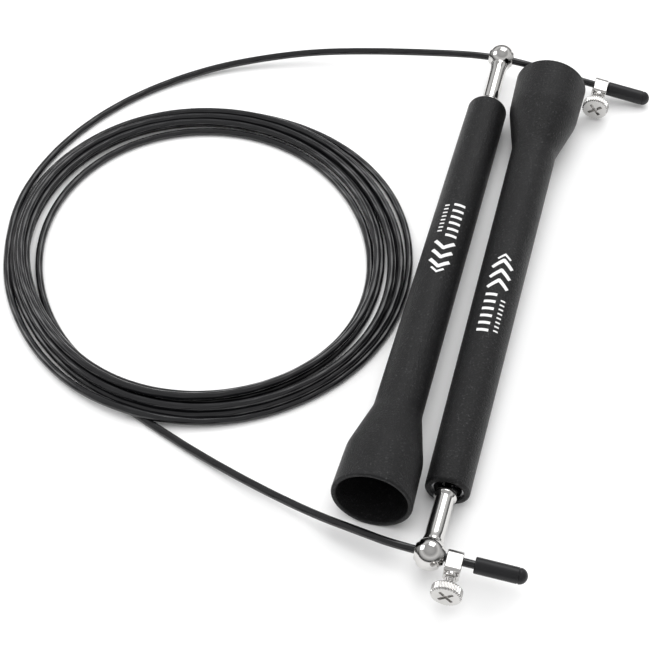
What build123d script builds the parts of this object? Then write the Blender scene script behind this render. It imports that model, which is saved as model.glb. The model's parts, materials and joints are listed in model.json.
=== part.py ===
from build123d import *
import os
from math import asin, atan, cos, degrees, pi, sin, tan

# Jump rope: two handles that lie side by side, head to tail, on a flat surface,
# and one coated steel cable between them, wound into a loose coil beside them.
# Millimetres. +Z is up, the surface is Z = 0, and both handles lie along Y.
# Handle a has its narrow end towards +Y, handle b towards -Y.

# ---------------------------------------------------------------- grip
grip_length = 175.0
neck_radius = 7.6
shoulder_radius = 11.8
mouth_radius = 12.3
flare_length = 17.0
bell_length = 16.5
wall = 1.5
neck_blend = 14.0
shoulder_blend = 16.0
rim_round = 0.6
narrow_round = 0.9

# ---------------------------------------------------------------- ball bearing in the narrow end
socket_wall = 1.85
bearing_radius = 5.0
bearing_width = 4.0
bearing_bore_radius = 2.0
ball_count = 7
ball_radius = 0.78
ball_orbit = 3.5
ball_groove_radius = 0.83
race_lip = 0.55
bearing_station = 10.5
partition = 2.0
partition_hole_radius = 3.6

# ---------------------------------------------------------------- retaining ring and spacer sleeve
ring_station = 1.0
ring_thickness = 0.8
ring_inner_radius = 4.35
ring_groove_depth = 0.35
ring_gap = 2.0
ring_play = 0.02
sleeve_inner_radius = 4.5

# ---------------------------------------------------------------- swivel cup and its screw
cup_radius = 4.2
cup_lip = 1.6
cup_back = 3.9
cup_boss_radius = 2.7
seat_clearance = 0.05
shaft_clearance = 0.01
shaft_shortfall = 0.1
screw_radius = 1.25
screw_depth = 3.2
screw_head_radius = 2.3
screw_head_height = 1.5
washer_radius = 2.8
washer_thickness = 0.5

# ---------------------------------------------------------------- stem with its ball foot and eye
foot_radius = 3.1
foot_depth = 5.5
thread_radius = 1.5
nut_across_flats = 5.5
nut_height = 2.4
flange_radius = 3.45
flange_distance = 7.2
flange_height = 1.2
flange_cone = 0.8
stem_radius = 2.9
stem_reach = 30.0
eye_radius = 4.9
eye_width = 6.6
eye_bore_radius = 3.3

# ---------------------------------------------------------------- spool that turns in the eye
spool_clearance = 0.08
spool_bore_radius = 1.8
spool_nose = 1.0
spool_nose_radius = 2.4
rib_height = 0.25
rib_width = 1.0

# ---------------------------------------------------------------- cable, clamp, thumbscrew, end cap
cable_radius = 1.25
strip = 1.0
clamp_width = 4.8
clamp_height = 5.6
clamp_front = 5.4
clamp_corner = 1.1
boss_radius = 2.3
boss_height = 0.9
screw_play = 0.05
thumb_radius = 1.5
thumb_tip_gap = 0.1
head_radius = 4.6
head_start = 9.6
head_height = 3.0
head_cone = 1.0
head_cone_radius = 3.4
head_chamfer = 0.4
knurl_count = 32
knurl_radius = 0.35
recess_length = 5.4
recess_width = 1.0
recess_depth = 0.9
cap_radius = 2.45
cap_length = 15.4
cap_bore_depth = 10.0
cap_groove = 0.12

# ---------------------------------------------------------------- where things lie
handle_spacing = 20.1
eye_overhang = 36.3
eye_height = 10.2

# Cable stubs beyond the eyes: a point on each, and the angle by which it falls
clamp_a_gap = 4.25
clamp_a_aside = 0.65
clamp_a_drop = 4.7
stub_a_fall = 7.8
clamp_b_reach = 7.3
stub_b_fall = 2.5
cap_a_gap = 0.2
cap_b_gap = 3.4

# Loose coil of the cable, as its outer shape
coil_centre = Vector(-87.6, -3.9, 0)
coil_outer_radius = 69.3
coil_inner_radius = 53.6
coil_height = 5.2
coil_round = 2.0

# Free stretches of cable: two points counted from each eye's centre, then the way to the coil
lead_a = [
    (-8.15, -0.35, 0.0),
    (-28.15, -2.45, -1.5),
]
route_a = [
    (-57.5, 101.2, 6.7),
    (-77.0, 98.0, 4.7),
    (-95.0, 91.8, 3.1),
    (-112.0, 83.2, 1.9),
    (-127.0, 71.2, 1.3),
    (-139.5, 56.8, 1.25),
    (-149.2, 40.0, 1.25),
    (-155.4, 21.5, 1.25),
    (-157.4, 2.0, 1.25),
    (-153.6, -17.5, 1.25),
]
lead_b = [
    (-21.85, 3.45, -1.6),
    (-34.35, 6.75, -3.7),
]
route_b = [
    (-38.0, -94.2, 4.4),
    (-52.5, -88.8, 2.7),
    (-67.5, -82.9, 1.6),
    (-82.5, -76.6, 1.25),
    (-97.5, -70.0, 1.25),
    (-112.5, -63.6, 1.25),
]

# ---------------------------------------------------------------- places worked out from the sizes
narrow_radius = bearing_radius + socket_wall
eye_span = grip_length + eye_overhang
neck_station = grip_length - bell_length - flare_length
shoulder_station = grip_length - bell_length
grip_tilt = max(
    atan((mouth_radius - narrow_radius) / grip_length),
    atan((shoulder_radius - narrow_radius) / shoulder_station),
)
partition_station = bearing_station + bearing_width
core_station = partition_station + partition
foot_height = narrow_radius * cos(grip_tilt) + foot_depth * sin(grip_tilt)
stem_pitch = asin((eye_height - foot_height) / stem_reach)
across_x = (1, 0, 0)


def taper_radius(station):
    """Outer radius of the straight taper between the narrow face and the neck."""
    return narrow_radius + (neck_radius - narrow_radius) * station / neck_station


def eye_centre(sign):
    """Centre of the eye: sign is +1 for handle a and -1 for handle b."""
    return Vector(-sign * handle_spacing / 2, sign * eye_span / 2, eye_height)


def stem_frame(sign):
    """Origin at the ball foot, X along the stem towards the eye."""
    along = Vector(0, sign * cos(stem_pitch), sin(stem_pitch))
    return Plane(origin=eye_centre(sign) - along * stem_reach, x_dir=along, z_dir=across_x)


def grip_frame(sign):
    """Origin at the middle of the narrow face, X along the grip towards the bell."""
    along = Vector(0, -sign * cos(grip_tilt), sin(grip_tilt))
    return Plane(origin=stem_frame(sign).origin - along * foot_depth, x_dir=along, z_dir=across_x)


def axis_of(frame):
    """The turning axis of a frame: through its origin, along its X."""
    return Axis(frame.origin, frame.x_dir)


def across(frame, station):
    """A plane square to the frame's X, at a distance along it."""
    return Plane(origin=frame.origin + frame.x_dir * station, x_dir=frame.z_dir, z_dir=frame.x_dir)


def corner(sketch, x, y):
    """The sketch's corner nearest a point."""
    return sketch.vertices().sort_by_distance((x, y, 0))[0]


def turned(frame, outline):
    """A solid of revolution about the frame's X, from an outline of (along, radius) points."""
    with BuildPart() as piece:
        with BuildSketch(frame):
            with BuildLine():
                Polyline(*outline, close=True)
            make_face()
        revolve(axis=axis_of(frame))
    return piece.part


# ---------------------------------------------------------------- handle pieces
def make_grip(frame):
    """Hollow moulded grip: socket and bearing seat at the narrow end, open bell at the other."""
    ring_end = ring_station + ring_thickness
    groove_radius = bearing_radius + ring_groove_depth
    outline = [
        (0, narrow_radius),
        (neck_station, neck_radius),
        (shoulder_station, shoulder_radius),
        (grip_length, mouth_radius),
        (grip_length, mouth_radius - wall),
        (shoulder_station, shoulder_radius - wall),
        (neck_station, neck_radius - wall),
        (core_station, taper_radius(core_station) - wall),
        (core_station, partition_hole_radius),
        (partition_station, partition_hole_radius),
        (partition_station, bearing_radius),
        (ring_end, bearing_radius),
        (ring_end, groove_radius),
        (ring_station, groove_radius),
        (ring_station, bearing_radius),
        (0, bearing_radius),
    ]
    with BuildPart() as grip:
        with BuildSketch(frame) as section:
            with BuildLine():
                Polyline(*outline, close=True)
            make_face()
            fillet(corner(section, neck_station, neck_radius), neck_blend)
            fillet(corner(section, shoulder_station, shoulder_radius), shoulder_blend)
            fillet(corner(section, neck_station, neck_radius - wall), neck_blend)
            fillet(corner(section, shoulder_station, shoulder_radius - wall), shoulder_blend)
            fillet(corner(section, grip_length, mouth_radius), rim_round)
            fillet(corner(section, grip_length, mouth_radius - wall), rim_round)
            fillet(corner(section, 0, narrow_radius), narrow_round)
        revolve(axis=axis_of(frame))
    return grip.part


def make_race(frame, inner_radius, outer_radius):
    """One race of the ball bearing, with its ball groove."""
    middle = bearing_station + bearing_width / 2
    with BuildPart() as race:
        with BuildSketch(frame):
            with BuildLine():
                Polyline(
                    (bearing_station, inner_radius),
                    (partition_station, inner_radius),
                    (partition_station, outer_radius),
                    (bearing_station, outer_radius),
                    close=True,
                )
            make_face()
            with Locations((middle, ball_orbit)):
                Circle(ball_groove_radius, mode=Mode.SUBTRACT)
        revolve(axis=axis_of(frame))
    return race.part


def make_balls(frame):
    """The ring of separate bearing balls."""
    with BuildPart(across(frame, bearing_station + bearing_width / 2)) as balls:
        with PolarLocations(ball_orbit, ball_count):
            Sphere(ball_radius)
    return balls.part


def make_retaining_ring(frame):
    """Split spring ring that sits in the socket's groove."""
    outer = bearing_radius + ring_groove_depth - ring_play
    with BuildPart() as ring:
        with BuildSketch(across(frame, ring_station + ring_play)):
            Circle(outer)
            Circle(ring_inner_radius, mode=Mode.SUBTRACT)
            with Locations((0, -bearing_radius)):
                Rectangle(ring_gap, bearing_radius, mode=Mode.SUBTRACT)
        extrude(amount=ring_thickness - 2 * ring_play)
    return ring.part


def make_spacer_sleeve(frame):
    """Tube between the retaining ring and the bearing's outer race."""
    start = ring_station + ring_thickness
    return turned(frame, [
        (start, sleeve_inner_radius),
        (bearing_station, sleeve_inner_radius),
        (bearing_station, bearing_radius),
        (start, bearing_radius),
    ])


def make_swivel_cup(frame):
    """Cup that holds the stem's ball foot, with a shaft that turns in the bearing."""
    front = foot_depth - cup_lip
    back = foot_depth + cup_back
    shaft_radius = bearing_bore_radius - shaft_clearance
    shaft_end = partition_station - shaft_shortfall
    with BuildPart() as cup:
        with BuildSketch(frame) as section:
            with BuildLine():
                Polyline(
                    (front, 0),
                    (front, cup_radius),
                    (back, cup_radius),
                    (back, cup_boss_radius),
                    (bearing_station, cup_boss_radius),
                    (bearing_station, shaft_radius),
                    (shaft_end, shaft_radius),
                    (shaft_end, screw_radius),
                    (shaft_end - screw_depth, screw_radius),
                    (shaft_end - screw_depth, 0),
                    close=True,
                )
            make_face()
            fillet(corner(section, front, cup_radius), rim_round)
            chamfer(corner(section, back, cup_radius), rim_round)
        revolve(axis=axis_of(frame))
        with Locations(frame.origin + frame.x_dir * foot_depth):
            Sphere(foot_radius + seat_clearance, mode=Mode.SUBTRACT)
    return cup.part


def make_washer(frame):
    """Washer behind the bearing's inner race."""
    return turned(frame, [
        (partition_station, screw_radius + screw_play),
        (partition_station + washer_thickness, screw_radius + screw_play),
        (partition_station + washer_thickness, washer_radius),
        (partition_station, washer_radius),
    ])


def make_axle_screw(frame):
    """Pan-head screw that holds the cup's shaft in the bearing, with a cross recess."""
    tip = partition_station - shaft_shortfall - screw_depth + screw_play
    seat = partition_station + washer_thickness
    top = seat + screw_head_height
    with BuildPart() as screw:
        with BuildSketch(frame) as section:
            with BuildLine():
                Polyline(
                    (tip, 0),
                    (tip, screw_radius),
                    (seat, screw_radius),
                    (seat, screw_head_radius),
                    (top, screw_head_radius),
                    (top, 0),
                    close=True,
                )
            make_face()
            fillet(corner(section, top, screw_head_radius), screw_head_height / 2)
        revolve(axis=axis_of(frame))
        with BuildSketch(across(frame, top)):
            Rectangle(screw_head_radius, recess_width / 2)
            Rectangle(recess_width / 2, screw_head_radius)
        extrude(amount=-screw_head_height / 2, mode=Mode.SUBTRACT)
    return screw.part


def make_stem(frame, eye):
    """Stem: ball foot, threaded root, flange, round shank, and the eye with its inner groove."""
    flange_end = flange_distance + flange_height
    shank_end = stem_reach - (eye_bore_radius + eye_radius) / 2
    with BuildPart() as stem:
        with BuildSketch(frame) as section:
            with BuildLine():
                Polyline(
                    (0, 0),
                    (0, thread_radius),
                    (flange_distance, thread_radius),
                    (flange_distance, flange_radius),
                    (flange_end, flange_radius),
                    (flange_end + flange_cone, stem_radius),
                    (shank_end, stem_radius),
                    (shank_end, 0),
                    close=True,
                )
            make_face()
            fillet(corner(section, flange_distance, flange_radius), rim_round / 2)
            fillet(corner(section, flange_end, flange_radius), rim_round / 2)
        revolve(axis=axis_of(frame))
        with Locations(frame.origin):
            Sphere(foot_radius)
        with BuildSketch(Plane(origin=eye, x_dir=across_x, z_dir=(0, 0, 1))) as ring:
            with Locations((0, eye_radius / 2)):
                Rectangle(eye_width, eye_radius)
            Circle(eye_radius, mode=Mode.INTERSECT)
            with Locations((0, eye_bore_radius / 2)):
                Rectangle(eye_width, eye_bore_radius, mode=Mode.SUBTRACT)
            with Locations((0, eye_bore_radius)):
                groove = rib_height + spool_clearance
                Rectangle(rib_width + 2 * spool_clearance, 2 * groove, mode=Mode.SUBTRACT)
        revolve(axis=Axis(eye, across_x))
    return stem.part


def make_lock_nut(frame):
    """Hexagon nut on the stem's threaded root, tight against the flange."""
    with BuildPart() as nut:
        with BuildSketch(across(frame, flange_distance - nut_height)):
            RegularPolygon(nut_across_flats / 2, 6, major_radius=False)
            Circle(thread_radius + shaft_clearance, mode=Mode.SUBTRACT)
        extrude(amount=nut_height)
        with BuildSketch(frame) as envelope:
            with BuildLine():
                corner_radius = nut_across_flats / 2 / cos(pi / 6)
                bevel = (corner_radius - nut_across_flats / 2) * 0.6
                Polyline(
                    (flange_distance - nut_height, 0),
                    (flange_distance - nut_height, nut_across_flats / 2),
                    (flange_distance - nut_height + bevel, corner_radius),
                    (flange_distance - bevel, corner_radius),
                    (flange_distance, nut_across_flats / 2),
                    (flange_distance, 0),
                    close=True,
                )
            make_face()
        revolve(axis=axis_of(frame), mode=Mode.INTERSECT)
    return nut.part


def make_spool(eye):
    """Spool that turns in the eye: bored for the cable, a conical nose each side, a rib in the groove."""
    frame = Plane(origin=eye, x_dir=across_x, z_dir=(0, 0, 1))
    body_radius = eye_bore_radius - spool_clearance
    half_width = eye_width / 2
    tip = half_width + spool_nose
    half_rib = rib_width / 2
    return turned(frame, [
        (-tip, spool_bore_radius),
        (-tip, spool_nose_radius),
        (-half_width, body_radius),
        (-half_rib, body_radius),
        (-half_rib, body_radius + rib_height),
        (half_rib, body_radius + rib_height),
        (half_rib, body_radius),
        (half_width, body_radius),
        (tip, spool_nose_radius),
        (tip, spool_bore_radius),
    ])


# ---------------------------------------------------------------- pieces on the cable
def falling(angle):
    """Direction of a cable stub: towards +X, falling by an angle."""
    return Vector(cos(angle * pi / 180), 0, -sin(angle * pi / 180))


def make_clamp(centre, along):
    """Bent strip round the cable, with a threaded boss for the thumbscrew on its -Y side."""
    section_plane = Plane(origin=centre, x_dir=(0, -1, 0), z_dir=along)
    front_plane = Plane(origin=centre + Vector(0, -clamp_front, 0), x_dir=along, z_dir=(0, -1, 0))

    def loop(inset, mode):
        half_height = clamp_height / 2 - inset
        front = clamp_front - inset
        with BuildSketch(section_plane, mode=Mode.PRIVATE) as outline:
            with BuildLine():
                Line((front, half_height), (0, half_height))
                ThreePointArc((0, half_height), (-half_height, 0), (0, -half_height))
                Line((0, -half_height), (front, -half_height))
                Line((front, -half_height), (front, half_height))
            make_face()
            round_size = max(clamp_corner - inset, 0.2)
            fillet(corner(outline, front, half_height), round_size)
            fillet(corner(outline, front, -half_height), round_size)
        extrude(outline.sketch, amount=clamp_width / 2, both=True, mode=mode)

    with BuildPart() as clamp:
        loop(0, Mode.ADD)
        loop(strip, Mode.SUBTRACT)
        with BuildSketch(front_plane):
            Circle(boss_radius)
        extrude(amount=boss_height)
        with BuildSketch(front_plane.offset(boss_height)):
            Circle(thumb_radius + screw_play)
        extrude(amount=-boss_height - strip - screw_play, mode=Mode.SUBTRACT)
    return clamp.part


def make_thumbscrew(centre):
    """Thumbscrew that presses on the cable: plain shank, knurled head, cross recess."""
    frame = Plane(origin=centre, x_dir=(0, -1, 0), z_dir=across_x)
    head_end = head_start + head_height
    with BuildPart() as screw:
        with BuildSketch(frame):
            with BuildLine():
                Polyline(
                    (cable_radius + thumb_tip_gap, 0),
                    (cable_radius + thumb_tip_gap, thumb_radius),
                    (head_start - head_cone, thumb_radius),
                    (head_start, head_cone_radius),
                    (head_start, head_radius - head_chamfer),
                    (head_start + head_chamfer, head_radius),
                    (head_end - head_chamfer, head_radius),
                    (head_end, head_radius - head_chamfer),
                    (head_end, 0),
                    close=True,
                )
            make_face()
        revolve(axis=axis_of(frame))
        with BuildSketch(across(frame, head_start)):
            with PolarLocations(head_radius, knurl_count):
                RegularPolygon(knurl_radius, 4)
        extrude(amount=head_height, mode=Mode.SUBTRACT)
        with BuildSketch(across(frame, head_end)):
            with Locations(Rotation(0, 0, 45)):
                Rectangle(recess_length, recess_width)
                Rectangle(recess_width, recess_length)
        extrude(amount=-recess_depth, mode=Mode.SUBTRACT)
    return screw.part


def make_end_cap(start, along):
    """Soft cap with a round end and a shallow ring groove, over the end of the cable."""
    frame = Plane(origin=start, x_dir=along, z_dir=(0, 1, 0))
    straight = cap_length - cap_radius
    with BuildPart() as cap:
        with BuildSketch(frame):
            with BuildLine():
                Polyline(
                    (straight, cap_radius),
                    (straight - cap_groove, cap_radius - cap_groove),
                    (straight - 2 * cap_groove, cap_radius),
                    (0, cap_radius),
                    (0, cable_radius),
                    (cap_bore_depth, cable_radius),
                    (cap_bore_depth, 0),
                    (cap_length, 0),
                )
                CenterArc((straight, 0), cap_radius, 0, 90)
            make_face()
        revolve(axis=axis_of(frame))
    return cap.part


def make_cable(points, name):
    """Cable tube: straight runs joined by tangent arcs, each as large as its two runs allow."""
    radii = []
    for before, at, after in zip(points, points[1:], points[2:]):
        run_in = at - before
        run_out = after - at
        half_turn = run_in.get_angle(run_out) / 2 * pi / 180
        radii.append(0.45 * min(run_in.length, run_out.length) / tan(half_turn))
    with BuildPart() as cable:
        with BuildLine() as route:
            FilletPolyline(*points, radius=radii)
        with BuildSketch(Plane(origin=points[0], z_dir=points[1] - points[0])):
            Circle(cable_radius)
        sweep()
    length = sum(edge.length for edge in route.edges())
    ratio = cable.part.volume / (pi * cable_radius**2 * length)
    print(name, "length", round(length, 1), "volume over section times length", round(ratio, 4))
    print(name, "bend radii", [round(radius) for radius in radii])
    return cable.part


def make_coil():
    """Outer shape of the loose coil: a flat ring with rounded edges that lies on the surface."""
    middle_radius = (coil_outer_radius + coil_inner_radius) / 2
    with BuildPart() as coil:
        with BuildSketch(Plane(origin=coil_centre, x_dir=(1, 0, 0), z_dir=(0, -1, 0))):
            with Locations((middle_radius, coil_height / 2)):
                RectangleRounded(coil_outer_radius - coil_inner_radius, coil_height, coil_round)
        revolve(axis=Axis(coil_centre, (0, 0, 1)))
    return coil.part


# ---------------------------------------------------------------- build and write
stub_a = falling(stub_a_fall)
stub_b = falling(stub_b_fall)
eye_a = eye_centre(1)
eye_b = eye_centre(-1)
clamp_a_x = handle_spacing / 2 + mouth_radius + clamp_a_gap
clamp_centres = {
    "a": Vector(clamp_a_x, eye_a.Y - clamp_a_aside, eye_a.Z - clamp_a_drop),
    "b": eye_b + stub_b * clamp_b_reach,
}
stub_directions = {"a": stub_a, "b": stub_b}
cap_gaps = {"a": cap_a_gap, "b": cap_b_gap}
cap_starts = {
    side: clamp_centres[side] + stub_directions[side] * (clamp_width / 2 + cap_gaps[side])
    for side in ("a", "b")
}
cable_ends = {side: cap_starts[side] + stub_directions[side] * cap_bore_depth for side in ("a", "b")}

points_a = [
    cable_ends["a"],
    clamp_centres["a"] - stub_a * 9.0,
    eye_a + Vector(7.5, -0.1, -0.3),
    *[eye_a + Vector(*point) for point in lead_a],
    *[Vector(*point) for point in route_a],
]
points_b = [
    cable_ends["b"],
    eye_b - stub_b * 8.5,
    *[eye_b + Vector(*point) for point in lead_b],
    *[Vector(*point) for point in route_b],
]

parts = {}
for side, sign in (("a", 1), ("b", -1)):
    frame = grip_frame(sign)
    stem = stem_frame(sign)
    eye = eye_centre(sign)
    clamp_centre = clamp_centres[side]
    direction = stub_directions[side]
    parts["grip_" + side] = make_grip(frame)
    parts["bearing_outer_race_" + side] = make_race(
        frame, ball_orbit + race_lip, bearing_radius
    )
    parts["bearing_balls_" + side] = make_balls(frame)
    parts["bearing_inner_race_" + side] = make_race(
        frame, bearing_bore_radius, ball_orbit - race_lip
    )
    parts["retaining_ring_" + side] = make_retaining_ring(frame)
    parts["spacer_sleeve_" + side] = make_spacer_sleeve(frame)
    parts["swivel_cup_" + side] = make_swivel_cup(frame)
    parts["washer_" + side] = make_washer(frame)
    parts["axle_screw_" + side] = make_axle_screw(frame)
    parts["swivel_stem_" + side] = make_stem(stem, eye)
    parts["lock_nut_" + side] = make_lock_nut(stem)
    parts["eye_spool_" + side] = make_spool(eye)
    parts["cable_clamp_" + side] = make_clamp(clamp_centre, direction)
    parts["thumbscrew_" + side] = make_thumbscrew(clamp_centre)
    parts["end_cap_" + side] = make_end_cap(cap_starts[side], direction)
parts["cable_end_a"] = make_cable(points_a, "cable_end_a")
parts["cable_end_b"] = make_cable(points_b, "cable_end_b")
parts["cable_coil"] = make_coil()

os.makedirs("parts", exist_ok=True)
for name, part in parts.items():
    part.label = name
    export_step(part, "parts/" + name + ".step")
    print(name, round(part.volume, 1), part.bounding_box().min, part.bounding_box().max)
print("grip tilt", round(degrees(grip_tilt), 3), "stem pitch", round(degrees(stem_pitch), 3))
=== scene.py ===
# %% [markdown]
# # A speed jump rope
# Two hollow plastic handles lie side by side, head to tail. From each narrow end comes a
# chromed stem with an eye, and one thin coated cable runs from eye to eye through a loose
# coil. The imported CAD model is loaded first as a fixed frame: it says where every piece
# is and how it moves, so only the turns of the coil and the finishes are chosen here.

# %% Load the frame
import json
import math

import bpy
import numpy as np
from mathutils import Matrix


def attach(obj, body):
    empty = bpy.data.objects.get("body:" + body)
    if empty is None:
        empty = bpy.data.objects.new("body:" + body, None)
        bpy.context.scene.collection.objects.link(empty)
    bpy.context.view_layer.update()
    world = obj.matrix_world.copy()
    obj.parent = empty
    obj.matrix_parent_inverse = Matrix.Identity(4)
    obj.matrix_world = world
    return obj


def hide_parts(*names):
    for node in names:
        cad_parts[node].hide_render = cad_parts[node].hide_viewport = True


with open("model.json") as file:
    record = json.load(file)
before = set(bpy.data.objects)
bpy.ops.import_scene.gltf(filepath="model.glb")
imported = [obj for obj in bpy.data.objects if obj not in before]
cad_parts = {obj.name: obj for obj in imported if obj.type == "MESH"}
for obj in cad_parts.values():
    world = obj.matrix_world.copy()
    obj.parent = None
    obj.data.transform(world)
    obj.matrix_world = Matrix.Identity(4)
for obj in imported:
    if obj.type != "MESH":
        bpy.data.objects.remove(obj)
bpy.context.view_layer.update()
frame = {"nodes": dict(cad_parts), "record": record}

joints = {joint["name"]: joint for joint in frame["record"]["behaviour"]["joints"]}

# %% [markdown]
# ## Camera
# A product picture of a flat thing is taken from above and from the front with a long
# lens, so that the far end isn't much smaller than the near one. The camera is set by
# what it looks at, its distance, its height angle and its turn about the upright.

# %% Camera
MM = 0.001
look_at = np.array([-42.25, -23.2, 0.0]) * MM
distance = 0.5657
height_angle = math.radians(50.48)
turn = math.radians(14.6)
away = np.array([
    math.sin(turn) * math.cos(height_angle),
    -math.cos(turn) * math.cos(height_angle),
    math.sin(height_angle),
])
camera_data = bpy.data.cameras.new("camera")
camera_data.lens = 96.957
camera_data.sensor_width = 36.0
camera = bpy.data.objects.new("camera", camera_data)
camera.location = look_at + away * distance
camera.rotation_euler = (math.pi / 2 - height_angle, 0.0, turn)
bpy.context.collection.objects.link(camera)
bpy.context.scene.camera = camera
print("camera at", np.round(camera.location, 4).tolist())

# %% [markdown]
# ## Surfaces from numbers
# Every new piece is a grid of points worked out with numpy, rows along the piece and
# columns round it. The helpers join neighbouring points into faces, close the ends with
# a pole, and turn a whole shell round when its faces would look inwards.

# %% Grids of points into closed shells
def shell(points, rows_closed=False, poles=True):
    """Faces between neighbouring grid points, the last column joined to the first. Open
    rows get a pole in the middle of the first and last row. The shell's signed volume,
    a sixth of the sum of a . (b x c) over its triangles, says if it has to be turned."""
    rows, columns = points.shape[:2]
    index = np.arange(rows * columns).reshape(rows, columns)
    index = np.hstack([index, index[:, :1]])
    v, u = np.meshgrid(np.linspace(0, 1, rows), np.linspace(0, 1, columns + 1), indexing="ij")
    uv = np.stack([u, v], axis=-1)
    if rows_closed:
        index = np.vstack([index, index[:1]])
        uv = np.concatenate([uv, uv[:1] + (0, 1)])
    quads = np.stack([index[:-1, :-1], index[:-1, 1:], index[1:, 1:], index[1:, :-1]], -1)
    quad_uv = np.stack([uv[:-1, :-1], uv[:-1, 1:], uv[1:, 1:], uv[1:, :-1]], 2)
    vertices = points.reshape(-1, 3)
    triangles = np.zeros((0, 3), dtype=int)
    triangle_uv = np.zeros((0, 3, 2))
    if poles and not rows_closed:
        first, last = len(vertices), len(vertices) + 1
        vertices = np.vstack([vertices, points[0].mean(axis=0), points[-1].mean(axis=0)])
        start = np.stack([np.full(columns, first), index[0, 1:], index[0, :-1]], -1)
        end = np.stack([np.full(columns, last), index[-1, :-1], index[-1, 1:]], -1)
        triangles = np.vstack([start, end])
        triangle_uv = np.concatenate([
            np.stack([uv[0, :-1], uv[0, 1:], uv[0, :-1]], 1),
            np.stack([uv[-1, :-1], uv[-1, :-1], uv[-1, 1:]], 1),
        ])
    quads = quads.reshape(-1, 4)
    quad_uv = quad_uv.reshape(-1, 4, 2)
    every = np.vstack([quads[:, [0, 1, 2]], quads[:, [0, 2, 3]], triangles])
    centred = vertices - vertices.mean(axis=0)
    a, b, c = centred[every[:, 0]], centred[every[:, 1]], centred[every[:, 2]]
    if np.einsum("ij,ij->i", a, np.cross(b, c)).sum() < 0:
        quads, quad_uv = quads[:, ::-1], quad_uv[:, ::-1]
        triangles, triangle_uv = triangles[:, ::-1], triangle_uv[:, ::-1]
    return vertices, quads, triangles, quad_uv, triangle_uv


def make_piece(name, shells, sharp=35.0):
    """One object from several shells, in metres, smooth but for edges over the angle."""
    offsets = np.cumsum([0] + [len(part[0]) for part in shells[:-1]])
    vertices = np.vstack([part[0] for part in shells])
    quads = np.vstack([part[1] + offset for part, offset in zip(shells, offsets)])
    triangles = np.vstack([part[2] + offset for part, offset in zip(shells, offsets)])
    corners = np.concatenate([quads.ravel(), triangles.ravel()])
    starts = np.concatenate([
        np.arange(len(quads)) * 4,
        len(quads) * 4 + np.arange(len(triangles)) * 3,
    ])
    uvs = np.concatenate(
        [part[3].ravel() for part in shells] + [part[4].ravel() for part in shells]
    )
    mesh = bpy.data.meshes.new(name)
    mesh.vertices.add(len(vertices))
    mesh.vertices.foreach_set("co", (vertices * MM).ravel())
    mesh.loops.add(len(corners))
    mesh.loops.foreach_set("vertex_index", corners.astype(np.int32))
    mesh.polygons.add(len(starts))
    mesh.polygons.foreach_set("loop_start", starts.astype(np.int32))
    mesh.uv_layers.new(name="along").data.foreach_set("uv", uvs)
    mesh.update(calc_edges=True)
    mesh.validate()
    mesh.polygons.foreach_set("use_smooth", np.ones(len(starts), dtype=bool))
    mesh.set_sharp_from_angle(angle=math.radians(sharp))
    piece = bpy.data.objects.new(name, mesh)
    bpy.context.collection.objects.link(piece)
    print(name, "has", len(quads) * 2 + len(triangles), "triangles")
    return piece


# %% [markdown]
# ## Frames, lathe work and rounded profiles
# Nearly every piece of a rope handle is turned, moulded round an axis or bent from a
# strip. So three helpers do most of the work: a frame of three square directions, a
# surface of turning, and a profile whose corners are true arcs. A bevel
# modifier could round the corners too, but not each with its own radius.

# %% Frames, lathe work and rounded profiles
def vector(values):
    """Numbers as an array of floats."""
    return np.array(values, dtype=float)


def unit(values):
    """A direction: the values divided by their length."""
    return vector(values) / np.linalg.norm(values)


def axes_of(axis, side):
    """Three square directions: the axis, the part of side square to it, and their product."""
    axis = unit(axis)
    first = unit(vector(side) - np.dot(side, axis) * axis)
    return axis, first, np.cross(axis, first)


def lathe(origin, axes, along, radius, columns=96):
    """A surface of turning: origin + along x axis + radius x (cos t, sin t) in the other
    two directions. along and radius are one value a row, or one a row and column."""
    t = np.linspace(0, 2 * np.pi, columns, endpoint=False)
    along = vector(along).reshape(len(along), -1) * np.ones(columns)
    radius = vector(radius).reshape(len(radius), -1) * np.ones(columns)
    axis, first, second = axes
    return (
        origin
        + along[..., None] * axis
        + (radius * np.cos(t))[..., None] * first
        + (radius * np.sin(t))[..., None] * second
    )


def rounded(corners, closed=False, steps=7, longest=4.0):
    """A profile of straight runs whose corners (x, y, rounding) become arcs: each arc is
    tangent to both runs, and runs are divided so that no step is longer than longest."""
    corners = [vector(corner) for corner in corners]
    count = len(corners)
    points = []
    for i, corner in enumerate(corners):
        at, size = corner[:2], corner[2]
        if size == 0 or (not closed and i in (0, count - 1)):
            points.append(at[None, :])
            continue
        back = unit(corners[i - 1][:2] - at)
        ahead = unit(corners[(i + 1) % count][:2] - at)
        half = math.acos(np.clip(np.dot(back, ahead), -1, 1)) / 2
        centre = at + unit(back + ahead) * size / math.sin(half)
        reach = size / math.tan(half)
        a0 = math.atan2(*(at + back * reach - centre)[::-1])
        a1 = math.atan2(*(at + ahead * reach - centre)[::-1])
        sweep = (a1 - a0 + math.pi) % (2 * math.pi) - math.pi
        angles = a0 + sweep * np.linspace(0, 1, steps)
        points.append(centre + size * np.stack([np.cos(angles), np.sin(angles)], -1))
    line = np.vstack(points)
    if closed:
        line = np.vstack([line, line[:1]])
    step = np.linalg.norm(np.diff(line, axis=0), axis=1)
    parts = np.maximum(1, np.ceil(step / longest).astype(int))
    place = np.concatenate([i + np.arange(n) / n for i, n in enumerate(parts)] + [[len(step)]])
    if closed:
        place = place[:-1]
    base = np.arange(len(line))
    return np.stack([np.interp(place, base, line[:, 0]), np.interp(place, base, line[:, 1])], -1)


square = rounded([(0, 0, 1), (10, 0, 1), (10, 10, 1), (0, 10, 1)], closed=True)
print("a rounded square comes out with", len(square), "points")
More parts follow.
